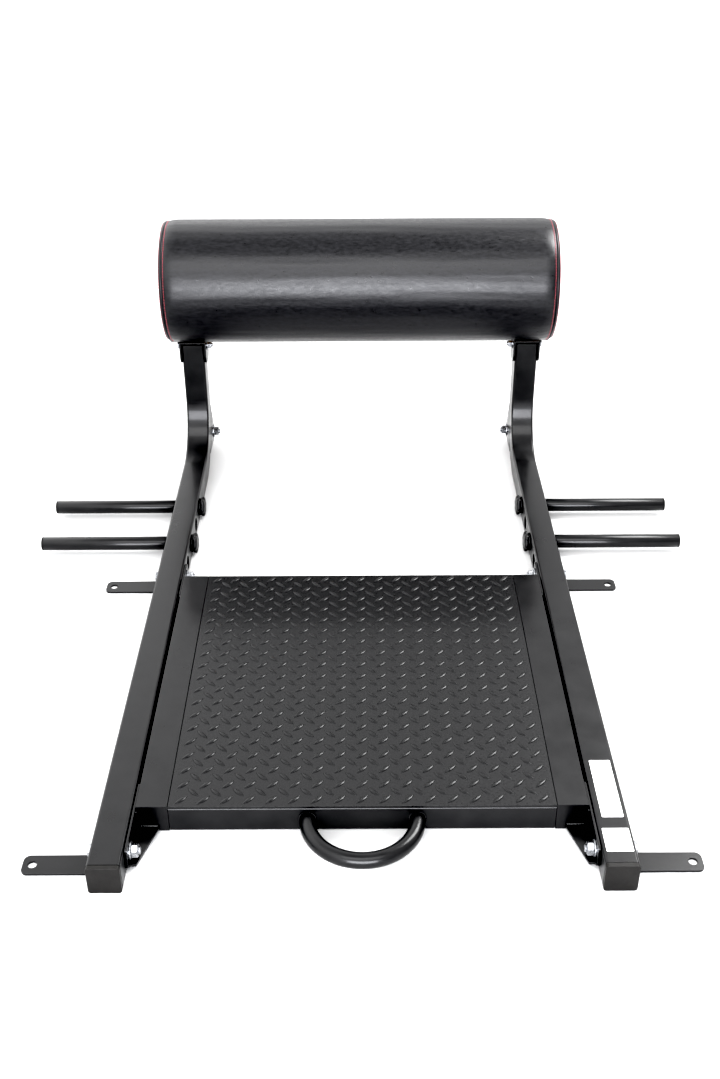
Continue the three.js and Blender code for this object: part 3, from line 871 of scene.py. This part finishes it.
for end, side_name in PLACES:
    add_peg_bar(f"peg_bar_{end}_{side_name}", SIDES[side_name])
    add_tip_cap(f"peg_tip_cap_{end}_{side_name}", SIDES[side_name])
    add_knob(f"peg_knob_{end}_{side_name}", SIDES[side_name])

# ---- transport wheels

def add_wheel(side_name):
    node = f"wheel_{side_name}"
    low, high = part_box(node)
    centre = (low + high) / 2
    r = (high.z - low.z) / 2
    hub_half = (high.x - low.x) / 2
    half = hub_half - WHEEL["inset"]
    tyre_inner = r - WHEEL["tyre"]
    tyre = Builder()
    profile = [(-half + 2 * MM, tyre_inner), (-half, tyre_inner + 2 * MM), (-half, r - 4 * MM)]
    profile += [(-half + 1.2 * MM, r - 1.2 * MM), (-half + 4 * MM, r)]
    floor_r = r - WHEEL["groove_depth"]
    for groove in (-WHEEL["groove"], WHEEL["groove"]):
        profile += [(groove - 1.2 * MM, r), (groove - 0.7 * MM, floor_r), (groove + 0.7 * MM, floor_r),
                    (groove + 1.2 * MM, r)]
    profile += [(half - 4 * MM, r), (half - 1.2 * MM, r - 1.2 * MM), (half, r - 4 * MM),
                (half, tyre_inner + 2 * MM), (half - 2 * MM, tyre_inner), (-half + 2 * MM, tyre_inner)]
    lathe_x(tyre, profile, 1, centre, 64)
    stand_for(make_object(f"{node}_tyre", tyre.mesh(node, 0.001 * MM), RUBBER, 40), node)

    hub = Builder()
    bore = WHEEL["bore"]
    hub_r = WHEEL["hub_r"]
    rim = tyre_inner - 0.2 * MM
    web = half - WHEEL["web_inset"]
    hub_profile = [(-hub_half, bore), (-hub_half, hub_r - 2 * MM), (-hub_half + MM, hub_r - MM),
                   (-web, hub_r), (-web, rim - 4 * MM), (-half + MM, rim - 3 * MM), (-half + MM, rim)]
    hub_profile += [(-along, radius) for along, radius in reversed(hub_profile)] + hub_profile[:1]
    lathe_x(hub, hub_profile, 1, centre, 64)
    spoke_section = rounded_box_section(2.4 * MM, 2 * MM, 0.8 * MM, 3)
    for spoke in range(WHEEL["spokes"]):
        angle = TAU * spoke / WHEEL["spokes"]
        out = Vector((0, math.cos(angle), math.sin(angle)))
        across = Vector((0, -math.sin(angle), math.cos(angle)))
        for way in (-1, 1):
            root = centre + X_AXIS * way * (web + 1.5 * MM)
            rings = [
                hub.ring(placed(spoke_section, root + out * reach, across, X_AXIS))
                for reach in (hub_r - 1.2 * MM, rim - 3.2 * MM)
            ]
            hub.solid(rings)
    stand_for(make_object(f"{node}_hub", hub.mesh(node, 0.001 * MM), CAP_PLASTIC, 40), node)


for side_name in SIDES:
    add_wheel(side_name)
    refined(f"wheel_bracket_{side_name}", POWDER, 0.5 * MM)
    refined(f"pad_bracket_{side_name}", POWDER, 0.8 * MM)

# ---- roll

ROLL_LOW, ROLL_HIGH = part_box("roll_pad")
BOARD_LOW, BOARD_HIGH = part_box("roll_board")
ROLL_R = (ROLL_HIGH.y - ROLL_LOW.y) / 2
ROLL_AXIS = Vector((0, (ROLL_LOW.y + ROLL_HIGH.y) / 2, ROLL_HIGH.z - ROLL_R))
ROLL_HALF = ROLL_HIGH.x
SEAM_X = ROLL_HALF - ROLL_SEAM_INSET
ARC_POINTS = 162
FLAT_POINTS = 15
SKIRT_HALF = 45 * MM  # half the width over which the cover is drawn down to the board
SKIRT_GAP = 0.2 * MM
PANEL_R = ROLL_R - 15 * MM  # rings smaller than this lie in the end panels


def roll_section(r, grooved):
    """Points round the roll as (y, z) from its axis: the arc, then the underside or the board's groove."""
    half_board = (BOARD_HIGH.y - BOARD_LOW.y) / 2 + BOARD_GAP
    floor = ROLL_LOW.z - ROLL_AXIS.z
    lowest = math.asin(min(1, half_board / r))
    start = lowest - math.pi / 2
    sweep = TAU - 2 * lowest
    points = []
    for i in range(ARC_POINTS):
        angle = start + sweep * i / (ARC_POINTS - 1)
        y, z = r * math.cos(angle), r * math.sin(angle)
        if z < 0 and abs(y) < SKIRT_HALF:
            share = (SKIRT_HALF - abs(y)) / (SKIRT_HALF - half_board)
            starts = -math.sqrt(r * r - SKIRT_HALF ** 2)
            z = min(z, starts + (floor + SKIRT_GAP - starts) * share)
        points.append((y, z))
    for i in range(1, FLAT_POINTS - 1):
        y = -half_board + 2 * half_board * i / (FLAT_POINTS - 1)
        if grooved:
            y = max(-half_board, min(half_board, 1.16 * y))
            points.append((y, BOARD_HIGH.z - ROLL_AXIS.z + BOARD_GAP))
        else:
            points.append((y, max(floor, -math.sqrt(max(r * r - y * y, 0)))))
    return points


def roll_profile():
    """(x, radius, is seam) from one end panel's middle to the other's."""
    rim = ROLL_HALF - SEAM_X
    body_r = ROLL_R - ROLL_SLACK
    panel_x = ROLL_HALF - PANEL_SINK
    panel_r = body_r - RIM_FALL
    half = []
    for step in range(1, 12):
        half.append((panel_x, panel_r * step / 11, False))
    for step in range(1, 5):
        angle = math.pi / 2 * step / 4
        x = panel_x - (rim - PANEL_SINK) * (1 - math.cos(angle))
        half.append((x, panel_r + RIM_RISE * math.sin(angle), False))
    half.append((SEAM_X, body_r - ROLL_SHOULDER - SEAM_GROOVE, True))
    mirrored = [(-x, r, seam) for x, r, seam in half]
    steps = round(2 * SEAM_X / ROLL_RING_SPACING)
    barrel = []
    for step in range(1, steps):
        x = -SEAM_X + 2 * SEAM_X * step / steps
        shoulder = ROLL_SHOULDER * max(0, 1 - (SEAM_X - abs(x)) / ROLL_SHOULDER_LENGTH) ** 2
        barrel.append((x, body_r - shoulder, False))
    return mirrored + barrel + half[::-1]


def cloth_swell(mesh, pinned, pressure, frames, cap):
    """Inflates the mesh with Blender's cloth, and gives each point a move of at most cap."""
    obj = bpy.data.objects.new("swelling", mesh)
    bpy.context.scene.collection.objects.link(obj)
    group = obj.vertex_groups.new(name="held")
    group.add(pinned, 1.0, "REPLACE")
    cloth = obj.modifiers.new("cloth", "CLOTH")
    cloth.settings.use_pressure = True
    cloth.settings.uniform_pressure_force = pressure
    cloth.settings.vertex_group_mass = group.name
    cloth.settings.effector_weights.gravity = 0
    cloth.settings.quality = 4
    cloth.point_cache.frame_start = 1
    cloth.point_cache.frame_end = frames
    for number in range(1, frames + 1):
        bpy.context.scene.frame_set(number)
    depsgraph = bpy.context.evaluated_depsgraph_get()
    swollen = [v.co.copy() for v in obj.evaluated_get(depsgraph).data.vertices]
    for vertex, target in zip(mesh.vertices, swollen):
        move = target - vertex.co
        if move.length > cap:
            move *= cap / move.length
        vertex.co += move
    bpy.data.objects.remove(obj)
    bpy.context.scene.frame_set(1)


def pucker(point):
    """Small gathers beside the seams and slack creases in the cover, as a move along the radius."""
    beside = SEAM_X - abs(point.x)
    around = math.atan2(point.z - ROLL_AXIS.z, point.y - ROLL_AXIS.y)
    move = 0.0
    if beside > 0:
        fade = math.exp(-beside / GATHER["reach"])
        end = 3 * math.copysign(1, point.x)
        spot = Vector((end, GATHER["per_turn"] * around, GATHER["along"] * beside))
        move = GATHER["height"] * fade * noise.noise(spot)
    for along, per_turn, seed, height in CREASES:
        move += noise.noise(Vector((along * point.x, per_turn * around, seed))) * height
    return move


def add_roll():
    builder = Builder()
    rings = []
    pinned = []
    board_reach = BOARD_HIGH.x + BOARD_GAP
    whole = roll_section(ROLL_R, False)
    for x, r, seam in roll_profile():
        grooved = abs(x) < board_reach and r > ROLL_R / 2
        if r > PANEL_R:
            section = roll_section(r, grooved)
        else:
            section = [(y * r / ROLL_R, z * r / ROLL_R) for y, z in whole]
        origin = Vector((x, ROLL_AXIS.y, ROLL_AXIS.z))
        ring = builder.ring(placed(section, origin, Y_AXIS, Z_AXIS))
        low_z = ROLL_LOW.z + 12 * MM
        held = ring if seam else [i for i in ring if builder.points[i].z < low_z] + ring[ARC_POINTS:]
        pinned.extend(held)
        rings.append(ring)
    builder.solid(rings)
    mesh = builder.mesh("roll_cover")
    cloth_swell(mesh, pinned, pressure=4, frames=20, cap=3.2 * MM)
    held = set(pinned)
    for vertex in mesh.vertices:
        if vertex.index in held:
            continue
        out = Vector((0, vertex.co.y - ROLL_AXIS.y, vertex.co.z - ROLL_AXIS.z))
        if out.length > 0.9 * ROLL_R:
            vertex.co += out.normalized() * pucker(vertex.co)
    obj = make_object("roll_cover", mesh, LEATHER, 60)
    subdivide = obj.modifiers.new("smooth", "SUBSURF")
    subdivide.levels = 1
    subdivide.render_levels = 1
    stand_for(obj, "roll_pad")
    return obj


def surface_tree(mesh):
    return BVHTree.FromPolygons([v.co for v in mesh.vertices], [tuple(p.vertices) for p in mesh.polygons])


def add_stitches(name, tree, x, aim_x, rows_r):
    """A ring of stitches round the roll near one seam, laid on the cover's surface."""
    builder = Builder()
    girth = TAU * rows_r
    count = round(girth / STITCH["pitch"])
    for index in range(count):
        angle = TAU * (index + 0.5) / count
        out = Vector((0, math.cos(angle), math.sin(angle)))
        axis_point = Vector((x, ROLL_AXIS.y, ROLL_AXIS.z))
        start = axis_point + out * (ROLL_R + RAY_LIFT) + X_AXIS * aim_x
        target = axis_point + out * rows_r
        hit, normal, _, _ = tree.ray_cast(start, (target - start).normalized())
        if hit is None or (out.z < 0 and abs(hit.y - ROLL_AXIS.y) < UNSTITCHED_HALF):
            continue
        if normal.dot(start - hit) < 0:
            normal = -normal
        along = X_AXIS.cross(out).normalized()
        side_way = along.cross(normal).normalized()
        half = STITCH["length"] / 2
        rings = []
        for step in range(7):
            t = -1 + 2 * step / 6
            r = STITCH["r"] * math.sqrt(max(1 - t ** 4, 0.02))
            sink = STITCH["r"] * 1.1 * t ** 4
            centre = hit + along * half * t + normal * (STITCH["r"] * 0.45 - sink)
            rings.append(builder.ring(placed(circle(r, 7), centre, side_way, normal)))
        builder.solid(rings)
    added(make_object(name, builder.mesh(name), THREAD, 60))


ROLL_COVER = add_roll()
ROLL_SURFACE = surface_tree(ROLL_COVER.data)
for side_name, side in SIDES.items():
    barrel_x = side * (SEAM_X - BARREL_STITCH_INSET)
    rim_x = side * (ROLL_HALF - RIM_STITCH_INSET)
    add_stitches(f"barrel_stitches_{side_name}", ROLL_SURFACE, barrel_x, 0, ROLL_R)
    add_stitches(f"rim_stitches_{side_name}", ROLL_SURFACE, rim_x, side * RIM_AIM, ROLL_R - RIM_STITCH_DROP)
refined("roll_board", PLYWOOD, 1.2 * MM)

# ---- welds

def add_weld(name, points, r):
    """A rippled bead along a joint, given as two or more points."""
    rand = random.Random(name)
    builder = Builder()
    rings = []
    path = [Vector(p) for p in points]
    for start, end in zip(path, path[1:]):
        way = (end - start).normalized()
        u = way.orthogonal().normalized()
        v = way.cross(u)
        length = (end - start).length
        steps = max(4, round(length / WELD_STEP))
        for step in range(steps + 1):
            share = step / steps
            ripple = 0.86 + 0.14 * abs(math.sin(math.pi * share * length / WELD_RIPPLE))
            taper = min(1, 0.35 + 3 * min(share, 1 - share) * length / WELD_TAPER)
            radius = r * ripple * taper * rand.uniform(0.94, 1.06)
            rings.append(builder.ring(placed(circle(radius, 10), start + way * length * share, u, v)))
    builder.solid(rings)
    added(make_object(name, builder.mesh(name), POWDER, 60))


def ring_points(centre, r, u, v, count=28):
    """Points of a closed circle round centre, with the first one again at its end."""
    angles = [TAU * i / count for i in range(count + 1)]
    return [centre + r * (math.cos(angle) * u + math.sin(angle) * v) for angle in angles]


for end, side_name in PLACES:
    side = SIDES[side_name]
    tab_low, tab_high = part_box(f"anchor_tab_{end}_{side_name}")
    flange_low, flange_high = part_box(f"deck_flange_{end}_{side_name}")
    deck_low, deck_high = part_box(f"deck_side_tube_{side_name}")
    beam_low, beam_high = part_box(f"deck_{end}_beam")
    tab_root, inner_x, gusset_inner = (
        (tab_low.x, deck_high.x, flange_low.x) if side > 0 else (tab_high.x, deck_low.x, flange_high.x)
    )
    deck_y, beam_y = (deck_low.y, beam_low.y) if end == "front" else (deck_high.y, beam_high.y)
    gusset_z = flange_low.z + 4 * MM
    joints = {
        "tab": ((tab_root, tab_low.y + 3 * MM, tab_high.z), (tab_root, tab_high.y - 3 * MM, tab_high.z)),
        "gusset": ((gusset_inner + side * 2 * MM, beam_y, gusset_z),
                   (inner_x - side * 2 * MM, beam_y, gusset_z)),
        "flange": ((inner_x, deck_y, flange_low.z + 8 * MM), (inner_x, deck_y, flange_high.z - 4 * MM)),
    }
    for joint, points in joints.items():
        add_weld(f"{joint}_weld_{end}_{side_name}", points, WELD_R[joint])
for side_name, side in SIDES.items():
    foot = Vector((side * HANDLE_RING_R, HANDLE_FOOT_Y, HANDLE_Z))
    circle_points = ring_points(foot, HANDLE_TUBE_R, X_AXIS, Z_AXIS)
    add_weld(f"handle_weld_{side_name}", circle_points, WELD_R["handle"])

# ---- blank labels on the right rail

def add_label(name, x_ends, from_front):
    """A blank film on the right rail's top, between two X and two distances from its front."""
    low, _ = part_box("rail_right")
    half_width = (x_ends[1] - x_ends[0]) / 2
    half_length = (from_front[1] - from_front[0]) / 2
    section = rounded_box_section(half_width, half_length, LABEL_CORNER, 4)
    middle_y = low.y - RAIL_FRONT + sum(from_front) / 2
    centre = Vector((sum(x_ends) / 2, middle_y, low.z + TUBE))
    builder = Builder()
    heights = (0.02 * MM, LABEL_THICK)
    rings = [builder.ring(placed(section, centre + Z_AXIS * height, X_AXIS, Y_AXIS)) for height in heights]
    builder.solid(rings)
    added(make_object(name, builder.mesh(name), LABEL, 40))


add_label("blank_label_long", x_ends=(361.5 * MM, 394.5 * MM), from_front=(96 * MM, 222 * MM))
add_label("blank_label_short", x_ends=(357 * MM, 397 * MM), from_front=(26 * MM, 73 * MM))

# ---- floor, light and camera

def add_floor():
    s = Surface("pale_floor", Specular_IOR_Level=0.2)
    s.shader.inputs["Roughness"].default_value = 0.9
    tone = s.colours(s.noise(2, 2), (0.3, (0.56, 0.56, 0.56)), (0.7, (0.58, 0.58, 0.58)))
    material = s.finish(tone)
    corners = rectangle(-FLOOR_REACH, -FLOOR_REACH, FLOOR_REACH, FLOOR_REACH)
    builder = Builder()
    builder.cap(builder.ring([(x, y, 0) for x, y in corners]))
    floor = make_object("floor", builder.mesh("floor"), material)
    floor.location.z = -FLOOR_DROP


def add_softbox(name, place, aim, size, power, tint=(1, 1, 1)):
    data = bpy.data.lights.new(name, "AREA")
    data.shape = "RECTANGLE"
    data.size, data.size_y = size
    data.energy = power
    data.color = tint
    lamp = bpy.data.objects.new(name, data)
    lamp.location = place
    lamp.rotation_euler = (Vector(aim) - Vector(place)).to_track_quat("-Z", "Y").to_euler()
    bpy.context.scene.collection.objects.link(lamp)


def add_camera():
    data = bpy.data.cameras.new("camera")
    data.sensor_width = 36
    data.lens = CAMERA["lens"]
    data.clip_end = 60
    camera = bpy.data.objects.new("camera", data)
    pitch = math.radians(CAMERA["pitch"])
    roll = math.radians(CAMERA["roll"])
    turn = Matrix.Rotation(math.pi / 2 - pitch, 4, "X") @ Matrix.Rotation(roll, 4, "Z")
    camera.matrix_world = Matrix.Translation(CAMERA["place"]) @ turn
    bpy.context.scene.collection.objects.link(camera)
    bpy.context.scene.camera = camera


def set_world(strength_left, strength_right):
    """A grey studio, brightest half way up, and brighter on the left than on the right."""
    world = bpy.data.worlds.new("studio")
    world.use_nodes = True
    tree = world.node_tree
    background = tree.nodes["Background"]
    direction = tree.nodes.new("ShaderNodeTexCoord")
    split = tree.nodes.new("ShaderNodeSeparateXYZ")
    ramp = tree.nodes.new("ShaderNodeValToRGB")
    while len(ramp.color_ramp.elements) < len(WORLD_STOPS):
        ramp.color_ramp.elements.new(0.5)
    for element, (place, tone) in zip(ramp.color_ramp.elements, WORLD_STOPS):
        element.position = place
        element.color = (tone, tone, tone, 1)
    sideways = tree.nodes.new("ShaderNodeMapRange")
    limits = {"From Min": -0.5, "From Max": 0.5, "To Min": strength_left, "To Max": strength_right}
    for key, number in limits.items():
        sideways.inputs[key].default_value = number
    tree.links.new(direction.outputs["Generated"], split.inputs["Vector"])
    tree.links.new(split.outputs["Z"], ramp.inputs["Fac"])
    tree.links.new(ramp.outputs["Color"], background.inputs["Color"])
    tree.links.new(split.outputs["X"], sideways.inputs["Value"])
    tree.links.new(sideways.outputs["Result"], background.inputs["Strength"])
    bpy.context.scene.world = world


add_floor()
set_world(strength_left=2.4, strength_right=1.1)
add_softbox("front_softbox", (0, -3.6, 1.0), (0, 0.5, 0.4), (2.6, 1.6), 135, (0.95, 0.96, 1))
add_softbox("upper_softbox", (0, -2.0, 3.4), (0, 0.5, 0.3), (3.0, 1.6), 40)
add_softbox("right_softbox", (1.9, 1.0, 2.55), (0, -0.3, 0), (1.5, 1.5), 75)
add_camera()
view = bpy.context.scene.view_settings
view.view_transform = "Standard"
view.look = "High Contrast"
view.use_curve_mapping = True
view.curve_mapping.black_level = (BLACK_LEVEL,) * 3
view.curve_mapping.white_level = (WHITE_LEVEL,) * 3
